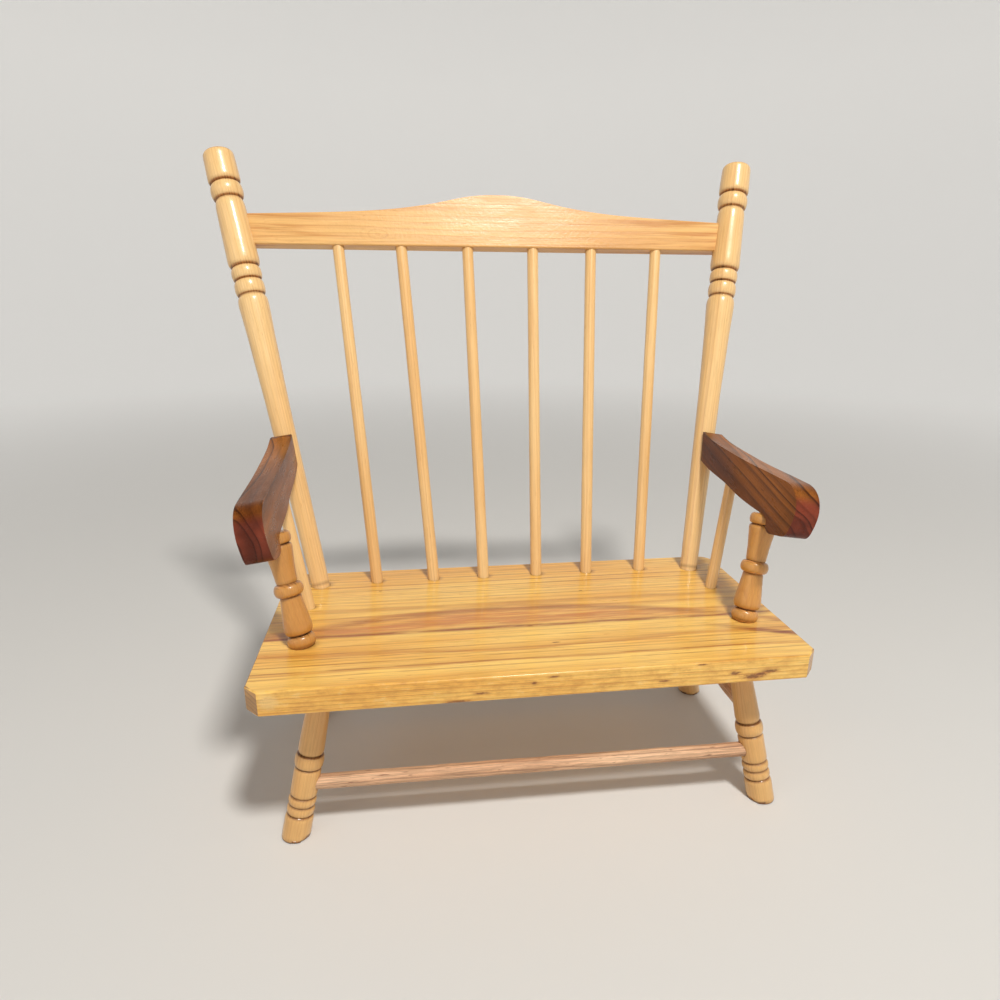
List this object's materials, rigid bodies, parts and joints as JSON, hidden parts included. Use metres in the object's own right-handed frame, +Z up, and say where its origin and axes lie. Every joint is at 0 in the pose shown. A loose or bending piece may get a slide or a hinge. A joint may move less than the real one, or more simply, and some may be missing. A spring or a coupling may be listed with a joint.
{
  "type": "miniature spindle back bench",
  "caption": "Small wooden bench with arms, a leaning spindle back under a crowned rail, and splayed turned legs tied by round stretchers.",
  "frame": {"origin": "on the ground, at the centre of the overall footprint", "axes": "+Z up, -Y is the way a sitter faces, X along the bench's width with +X on the right of someone looking at its front"},
  "size_m": [0.5186, 0.3092, 0.514],
  "materials": {
    "seat_pine": "satin varnish over pine",
    "pale_turned_wood": "satin varnish over pale turned wood",
    "rail_pine": "satin varnish over pine",
    "red_brown_arm_wood": "glossy varnish over red brown wood",
    "raw_stretcher_wood": "bare, open grained",
    "dowel_wood": "bare"
  },
  "bodies": {
    "root": {"seat_board": "seat_pine", "crest_rail": "rail_pine", "back_post_left": "pale_turned_wood", "back_post_right": "pale_turned_wood", "back_spindle_1": "pale_turned_wood", "back_spindle_2": "pale_turned_wood", "back_spindle_3": "pale_turned_wood", "back_spindle_4": "pale_turned_wood", "back_spindle_5": "pale_turned_wood", "back_spindle_6": "pale_turned_wood", "leg_front_left": "pale_turned_wood", "leg_front_right": "pale_turned_wood", "leg_rear_left": "pale_turned_wood", "leg_rear_right": "pale_turned_wood", "stretcher_front": "raw_stretcher_wood", "stretcher_rear": "raw_stretcher_wood", "stretcher_left": "raw_stretcher_wood", "stretcher_right": "raw_stretcher_wood", "arm_left": "red_brown_arm_wood", "arm_right": "red_brown_arm_wood", "arm_post_left": "pale_turned_wood", "arm_post_right": "pale_turned_wood", "arm_spindle_left": "pale_turned_wood", "arm_spindle_right": "pale_turned_wood", "arm_dowel_left": "dowel_wood", "arm_dowel_right": "dowel_wood"}
  },
  "joints": []
}
